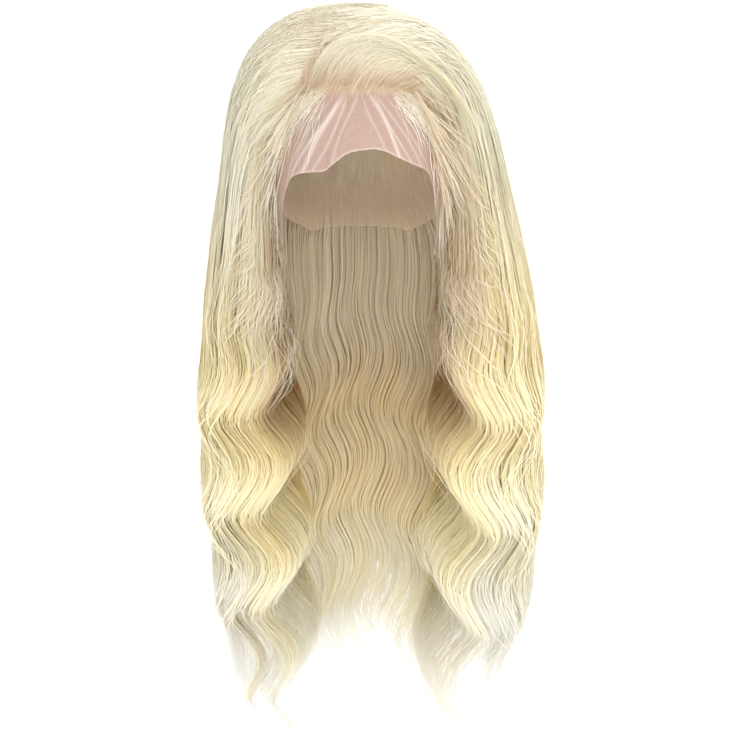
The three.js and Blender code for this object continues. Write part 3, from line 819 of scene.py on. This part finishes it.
class Surface:
    """A new material, with short ways to add nodes to it."""

    def __init__(self, name):
        self.material = bpy.data.materials.new(name)
        self.material.use_nodes = True
        self.nodes = self.material.node_tree.nodes
        self.links = self.material.node_tree.links
        self.shader = self.nodes["Principled BSDF"]

    def feed(self, node, inputs):
        """Links each input to a socket, or sets its value."""
        for key, value in inputs.items():
            if isinstance(value, bpy.types.NodeSocket):
                self.links.new(value, node.inputs[key])
            else:
                node.inputs[key].default_value = value

    def add(self, kind, inputs, **settings):
        node = self.nodes.new("ShaderNode" + kind)
        for name, value in settings.items():
            setattr(node, name, value)
        self.feed(node, inputs)
        return node

    def value(self, name):
        """A named value at the mesh's points."""
        return self.add("Attribute", {}, attribute_name=name).outputs["Fac"]

    def ramp(self, name, stops):
        """Colours that follow a named value."""
        node = self.add("ValToRGB", {"Fac": self.value(name)})
        elements = node.color_ramp.elements
        while len(elements) < len(stops):
            elements.new(0.5)
        for element, (place, colour) in zip(elements, stops):
            element.position = place
            element.color = (*colour, 1)
        return node.outputs["Color"]

    def mix(self, factor, a, b, blend="MIX"):
        inputs = {0: factor, 6: a, 7: b}
        return self.add("Mix", inputs, data_type="RGBA", blend_type=blend).outputs[2]

    def maths(self, operation, *values):
        return self.add("Math", dict(enumerate(values)), operation=operation).outputs[0]


def hair_material():
    """Pale along the strand and browner at the root, with painted shade in golden brown on the inside and
    beside the face, painted highlight and shade in the tone, and light passing through.
    """
    hair = Surface("blond_hair")
    toned = hair.mix(1.0, hair.ramp("along", HAIR_ALONG), hair.ramp("tone", HAIR_TONES), "MULTIPLY")
    # golden brown mixed in by deep: painted shade on the inside and beside the face, and golden brown hairs
    # at the temple and front
    deep = hair.mix(hair.value("deep"), toned, HAIR_BROWN_AND_SHADE)
    colour = hair.mix(hair.value("rooted"), deep, HAIR_ROOT)
    hair.feed(hair.shader, {"Base Color": colour, "Roughness": 0.4, "Specular IOR Level": 0.35})
    through = hair.add("BsdfTranslucent", {"Color": colour}).outputs["BSDF"]
    both = hair.add("MixShader", {"Fac": HAIR_THROUGH, 1: hair.shader.outputs["BSDF"], 2: through})
    hair.feed(hair.nodes["Material Output"], {"Surface": both.outputs["Shader"]})
    return hair.material


def net_threads(lace):
    """1 on the threads of a fine diamond net and 0 between them."""
    place = lace.add("UVMap", {}, uv_map="net").outputs["UV"]
    split = lace.add("SeparateXYZ", {"Vector": place})
    turns = math.pi * NET_SPAN / NET_PITCH
    wide = lace.maths("MULTIPLY", split.outputs["X"], turns)
    down = lace.maths("MULTIPLY", split.outputs["Y"], NET_SLANT * turns)
    ways = [lace.maths("ABSOLUTE", lace.maths("SINE", lace.maths(way, wide, down)))
            for way in ("ADD", "SUBTRACT")]
    thread = lace.add("MapRange", {
        "Value": lace.maths("MINIMUM", *ways), "From Min": NET_THREAD, "From Max": NET_THREAD + NET_SOFT,
        "To Min": 1.0, "To Max": 0.0,
    })
    return thread.outputs["Result"]


def lace_material():
    """A fine diamond net, closer and whiter along its folds and its cut edge."""
    lace = Surface("lace_net")
    threads = net_threads(lace)
    loose = lace.value("loose")
    cloud = lace.add("TexNoise", {"Scale": 55, "Detail": 3})
    bare = lace.mix(cloud.outputs["Fac"], LACE_DEEP, LACE_PALE)
    under = lace.mix(loose, LACE_UNDER, bare)
    close = lace.maths("MAXIMUM", lace.value("fold"), lace.maths("MULTIPLY", lace.value("rim"), RIM_PALE))
    veil = lace.maths("MULTIPLY_ADD", loose, VEIL[1], VEIL[0])
    net = lace.maths("MULTIPLY", threads, lace.maths("MULTIPLY_ADD", loose, THREADS[1], THREADS[0]))
    folded = lace.maths("MULTIPLY", close, FOLD_CLOSE)
    bump = lace.add("Bump", {"Strength": 0.4, "Distance": 0.0004, "Height": threads})
    lace.feed(lace.shader, {
        "Base Color": lace.mix(close, under, LACE_WHITE),
        "Alpha": lace.maths("MAXIMUM", lace.maths("MAXIMUM", net, veil), folded),
        "Normal": bump.outputs["Normal"],
        "Roughness": 0.75,
        "Sheen Weight": 0.2,
    })
    return lace.material


# Sections of hair

def side_places(count, sign, rng, kind):
    """Where the strands of one side hang: place round the fall and layer."""
    draw = rng.random(count)
    end = 1.0
    if kind == "outer":
        place = rng.uniform(SIDE_FROM - 0.02, 1.0, count)
        layer = 1.07 - 0.6 * rng.random(count) ** 2.6
    elif kind == "inner":
        end = FRONT_PLACE
        front = draw < 0.72
        ahead = FRONT_PLACE - 0.3 * rng.random(count) ** 2.6
        place = np.where(front, ahead, rng.uniform(SIDE_FROM, 1, count))
        layer = np.where(front, rng.uniform(-1, 0.95, count), rng.uniform(-1, -0.6, count))
    else:
        front = draw < 0.5
        place = np.where(front, rng.uniform(0.86, 1.0, count), rng.uniform(SIDE_FROM, 1.0, count))
        layer = np.where(front, rng.uniform(-0.85, 0.9, count), rng.uniform(0.66, 0.95, count))
    share = (place - SIDE_FROM) / (end - SIDE_FROM)
    return sign * lerp(SIDE_FROM, fall_front(layer), share), layer


def back_places(count, rng, kind):
    place = rng.uniform(-SIDE_FROM - 0.03, SIDE_FROM + 0.03, count)
    if kind == "fill":
        return place, rng.uniform(-0.8, 0.92, count)
    outer = rng.random(count) < 0.57
    layer = np.where(outer, 1.05 - 0.6 * rng.random(count) ** 2.4, rng.uniform(-1, -0.5, count))
    return place, layer


def section(sign, kind, count, rng):
    """The strands of one kind in a piece of hair: places, layers, widths and tone factors, which darken the
    fill strands as painted shade.
    """
    place, layer = side_places(count, sign, rng, kind) if sign else back_places(count, rng, kind)
    width = rng.uniform(*(FILL_WIDTH if kind == "fill" else STRAND_WIDTH), count)
    return place, layer, width, np.full(count, FILL_PAINTED_SHADE if kind == "fill" else 1.0)


def make_hair(finish):
    for index, (name, sign, kinds, nodes) in enumerate(HAIR_PLAN):
        rng = np.random.default_rng(SEED + index)
        parts = [section(sign, kind, count, rng) for kind, count in kinds.items()]
        place, layer, width, shade = map(np.concatenate, zip(*parts))
        points, values = strands(place, layer, rng, LOOSE_SHARE)
        # the fill strands' tone is darkened as painted shade
        values["tone"] = values["tone"] * shade[:, None]
        piece = ribbons(name, points, place, width, values, rng)
        piece.data.materials.append(finish)
        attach(piece, "root")
        if nodes:
            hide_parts(*nodes)


# Fine hairs

def edge_hairs(rng, count):
    """Fine hairs sparsely tied along the front hairline, lying back over the hair behind it."""
    azimuth = rng.uniform(-60, 58, count)
    left = azimuth > PART_AZIMUTH
    place = np.where(left, EDGE_PLACE, -EDGE_PLACE)
    layer = 1 - 2 * np.abs(azimuth - PART_AZIMUTH) / np.where(left, EDGE_SPANS[1], EDGE_SPANS[0])
    layer = np.clip(layer + rng.normal(0, 0.08, count), -1, 1)
    spread = np.where(rng.random(count) < 0.6, 3, 9) * np.abs(rng.normal(0, 0.7, count))
    drop = edge_drop(azimuth, EDGE_HAIR) + np.minimum(spread, ROOT_INSET) - ROOT_UP
    leave = hanging(place, layer, np.full(count, EDGE_LEVEL))
    over = crown_paths(form_direction(azimuth, drop), place, layer, leave)
    kept = rng.uniform(0.5, 0.95, count)
    key = np.linspace(0, 1, CROWN_STEPS)
    points = np.stack([
        np.stack([np.interp(FINE_SHARE[0] * share, key, path[:, axis]) for axis in range(3)], -1)
        for path, share in zip(over, kept)])
    run = summed(step_lengths(points))
    outward = unit(points - MIDDLE)
    sideways = unit(np.cross(outward, np.gradient(points, axis=1)))
    sway = smooth(run, 0, 60) * rng.uniform(0.5, 2.2, (count, 1))
    points = moved(points, sideways, sway * wander(rng, run, *EDGE_LENGTHS))
    points = moved(points, outward, 1.0 + np.abs(sway * wander(rng, run, *EDGE_LENGTHS)))
    return clear_of_form(points, FINE_GAP), run, place


def parting_hairs(rng, count):
    """Tan hairs that fan back from the front of the parting and fill its valley."""
    root = turned(PART_FRONT, CROWN, PARTING_BACK * rng.random(count) ** 1.3)
    root[:, 0] += PARTING_SPREAD * rng.normal(0, 1, count)
    ahead = np.broadcast_to(CROWN, root.shape).copy()
    ahead[:, 0] += PARTING_FAN * rng.normal(0, 1, count)
    turn = rng.uniform(*PARTING_TURN, (count, 1)) * FINE_SHARE
    direction = turned(unit(root)[:, None], unit(ahead)[:, None], turn)
    start = rng.uniform(*PARTING_LIFT, (count, 1))
    points = over_form(direction, 1 + crown_lift(direction) * lerp(start, PARTING_TOP, FINE_SHARE))
    return points, summed(step_lengths(points)), np.full(count, -EDGE_PLACE)


def short_hairs(root, heading, lengths, grows, curls, rng):
    """Short curling hairs that start on the cap and head along it: points, lengths so far and curls."""
    count = len(root)
    heading = square_to(heading, root)
    across = np.cross(root, heading)
    run = rng.uniform(*lengths, (count, 1)) * FINE_SHARE
    curl = smooth(run, 0, grows) * rng.uniform(*curls, (count, 1))
    start = over_form(root, np.full(count, FINE_GAP))
    points = moved(start[:, None], heading[:, None], run)
    return moved(points, across[:, None], curl * wander(rng, run, *SHORT_LENGTHS)), run, curl


def temple_hairs(rng, count):
    """Short crossing hairs in front of the ears and at the temples."""
    side = random_sides(rng, count)
    azimuth = side * rng.uniform(42, 64, count)
    hair, lace = edge_drop(azimuth, EDGE_HAIR), edge_drop(azimuth, EDGE_LACE)
    drop = lerp(hair - 18, np.minimum(lace, hair + 36) - 3, rng.random(count) ** 1.3)
    root = form_direction(azimuth, drop)
    backward = np.stack([0.25 * side, np.full(count, 1.0), np.zeros(count)], -1)
    heading = rng.uniform(-0.22, 0.8, (count, 1)) * backward
    heading[:, 2] -= rng.uniform(0.3, 1.6, count)
    points, run, curl = short_hairs(root, heading, (18, 62), 60, (0.8, 3.2), rng)
    inmost = 0.97 * np.abs(points[:, :1, 0])
    rise = 1 + 8 * smooth(run, 0, 70) * rng.random((count, 1))
    points = moved(points, root[:, None], rise + 0.5 * curl * wander(rng, run, *SHORT_LENGTHS))
    points[..., 2] -= TEMPLE_SAG * run ** 2
    points[..., 0] = side[:, None] * np.maximum(np.abs(points[..., 0]), inmost)
    points[..., 1] = np.maximum(points[..., 1], FRONT_LIMIT + 0.3 * (points[..., 1] - FRONT_LIMIT))
    return clear_of_form(points, FINE_GAP), run, side


def edge_frizz(rng, count):
    """Fine crossing hairs down the front edges of the falls, beside the face."""
    side = random_sides(rng, count)
    layer = rng.uniform(-0.9, 0.75, count)
    run = rng.uniform(40, 115, (count, 1)) * FINE_SHARE
    level = rng.uniform(*FRIZZ_TOP, (count, 1)) - run
    across = np.clip(layer[:, None] + rng.normal(0, 0.6, (count, 1)) * FINE_SHARE, -1, 0.9)
    ahead = rng.uniform(0.005, 0.05, (count, 1)) + 0.04 * (1 - smooth(-level, 100, 180))
    place = side[:, None] * (fall_front(across) + ahead)
    points = hanging(place, across, level)
    points, _ = waved(points, place[:, 0], layer, np.zeros(count), np.ones(count))
    _, outward, sideways = ring_at(place, level)
    curl = smooth(run, 0, 40) * rng.uniform(1.0, 4.0, (count, 1))
    points = moved(points, sideways, curl * wander(rng, run, *FRIZZ_LENGTHS))
    points = moved(points, outward, curl * wander(rng, run, *FRIZZ_LENGTHS))
    return clear_of_form(clear_of_tabs(points), STRAND_GAP), run, side


def forehead_hairs(rng, count):
    """Sparse fine hairs that cross over the lace at the corners of the forehead."""
    side = random_sides(rng, count)
    azimuth = side * rng.uniform(22, 58, count)
    drop = edge_drop(azimuth, EDGE_HAIR) + rng.uniform(-8, 12, count)
    root = form_direction(azimuth, np.minimum(drop, edge_drop(azimuth, EDGE_LACE) - 4))
    outwards = side * rng.uniform(-0.1, 0.9, count)
    backwards = rng.uniform(0.0, 0.6, count)
    heading = np.stack([outwards, backwards, rng.uniform(-1.5, -0.2, count)], -1)
    points, run, _ = short_hairs(root, heading, (20, 75), 40, (0.5, 2.5), rng)
    lift = 1.0 + 4.0 * smooth(run, 0, 40) * rng.random((count, 1))
    return over_form(unit(points - MIDDLE), lift), run, side


def hooked_wisp(rng):
    """One thin wisp low at the right, whose tip turns inwards."""
    place = HOOK_PLACE + rng.normal(0, 0.01, HOOK_HAIRS)
    layer = HOOK_LAYER + rng.normal(0, 0.06, HOOK_HAIRS)
    tip = HOOK_TIP + rng.gamma(*HOOK_SPREAD, HOOK_HAIRS)
    share = np.linspace(0, 1, STRAND_STEPS + 1)[None]
    level = lerp(HOOK_TOP, tip[:, None], share)
    points = hanging(place[:, None], layer[:, None], level)
    points, _ = waved(points, place, layer, np.zeros(HOOK_HAIRS), np.ones(HOOK_HAIRS))
    turned_in = np.clip((-level - HOOK_FROM) / (-HOOK_TIP - HOOK_FROM), 0, 1)
    points[..., 0] += HOOK_IN * turned_in ** 2
    values = {
        "along": lerp(0.6, 0.85, share),
        "rooted": np.zeros_like(share),
        "tone": rng.uniform(0.2, 0.6, (HOOK_HAIRS, 1)),
        "deep": 0.1 * share,
    }
    return place, points, {key: np.broadcast_to(numbers, level.shape) for key, numbers in values.items()}


def loose_wisps(rng):
    """Single hairs that hang apart, beside the face and round the outside, and the hooked wisp."""
    edge = rng.uniform(0.94, 1.06, LOOSE_HAIRS)
    outside = rng.uniform(0.0, 1.0, OUTSIDE_HAIRS)
    count = LOOSE_HAIRS + OUTSIDE_HAIRS
    place = random_sides(rng, count) * np.concatenate([edge, outside])
    layer = np.concatenate([
        rng.uniform(-0.75, 0.6, LOOSE_HAIRS), rng.uniform(1.06, 1.26, OUTSIDE_HAIRS)])
    tip = np.clip(WISP_TIP + rng.gamma(*WISP_SPREAD, count), WISP_TIP, TIP_LEVELS[1])
    points, values = strands(place, layer, rng, 1.0, tip)
    hook_place, hook_points, hook_values = hooked_wisp(rng)
    values["tone"] = np.clip(0.75 + 0.15 * rng.normal(0, 1, count), 0, 1)[:, None]
    values = {key: np.concatenate([np.broadcast_to(values[key], points.shape[:2]), hook_values[key]])
              for key in values}
    width = np.concatenate([
        rng.uniform(*LOOSE_WIDTH, LOOSE_HAIRS), rng.uniform(*OUTSIDE_WIDTH, OUTSIDE_HAIRS),
        rng.uniform(*HOOK_WIDTH, HOOK_HAIRS)])
    place = np.concatenate([place, hook_place])
    points = np.concatenate([points, hook_points])
    return ribbons("hair_loose_wisps", points, place, width, values, rng)


def fine_hairs(rng):
    """All the fine hairs round the front of the cap, as one mesh."""
    makers = (edge_hairs, temple_hairs, edge_frizz, forehead_hairs, parting_hairs)
    counts = [kind[0] for kind in FINE_KINDS]
    parts = [make(rng, number) for make, number in zip(makers, counts)]
    points, run, place = map(np.concatenate, zip(*parts))
    count = len(points)
    _, root, length, tone, deep, thin, thick = np.repeat(FINE_KINDS, counts, axis=0).T
    brown = np.where(place > 0, rng.uniform(0, 0.75, count), rng.uniform(0, 0.8, count) ** 2)
    values = {
        "along": np.clip(0.1 + run / FINE_LENGTH, 0, 1),
        "rooted": root[:, None] * np.exp(-run / length[:, None]),
        "tone": np.clip(tone + 0.25 * rng.normal(0, 1, count), 0, 1),
        "deep": deep * brown,
    }
    return ribbons("hairline_fine_hairs", points, place, rng.uniform(thin, thick), values, rng)


def make_fine_hair(finish):
    rng = np.random.default_rng(FINE_SEED)
    for piece in (fine_hairs(rng), loose_wisps(rng)):
        piece.data.materials.append(finish)
        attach(piece, "root")


def make_lace():
    piece, area = lace_sheet()
    piece.data.materials.append(lace_material())
    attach(piece, "root")
    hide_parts("lace_cap")


# Studio

def make_camera():
    camera = linked("camera", bpy.data.cameras.new("camera"))
    camera.data.sensor_width = 36
    camera.data.lens = 97.77
    camera.location = (0.0124, -1.6168, 0.4203)
    camera.rotation_euler = (math.radians(65.97), 0, 0)
    bpy.context.scene.camera = camera


def make_floor():
    mesh = bpy.data.meshes.new("floor")
    signs = ((-1, -1), (1, -1), (1, 1), (-1, 1))
    corners = [(x * FLOOR_HALF, y * FLOOR_HALF, FLOOR_LEVEL) for x, y in signs]
    mesh.from_pydata(corners, [], [(0, 1, 2, 3)])
    floor = linked("floor", mesh)
    paint = Surface("floor_white")
    paint.feed(paint.shader, {"Base Color": (0.96, 0.96, 0.96, 1), "Roughness": 0.9})
    mesh.materials.append(paint.material)


def make_lights():
    scene = bpy.context.scene
    world = bpy.data.worlds.new("studio")
    world.use_nodes = True
    sky = world.node_tree.nodes["Background"].inputs
    sky["Color"].default_value = (1, 1, 1, 1)
    sky["Strength"].default_value = 1.06
    scene.world = world
    for name, place, size, power in LIGHTS:
        lamp = bpy.data.lights.new(name, "AREA")
        lamp.size = size
        lamp.energy = power
        light = linked(name, lamp)
        light.location = place
        light.rotation_euler = (Vector(LIGHT_AIM) - Vector(place)).to_track_quat("-Z", "Y").to_euler()
    scene.view_settings.view_transform = "Standard"


make_camera()
make_floor()
make_lights()
make_lace()
hair = hair_material()
make_hair(hair)
make_fine_hair(hair)
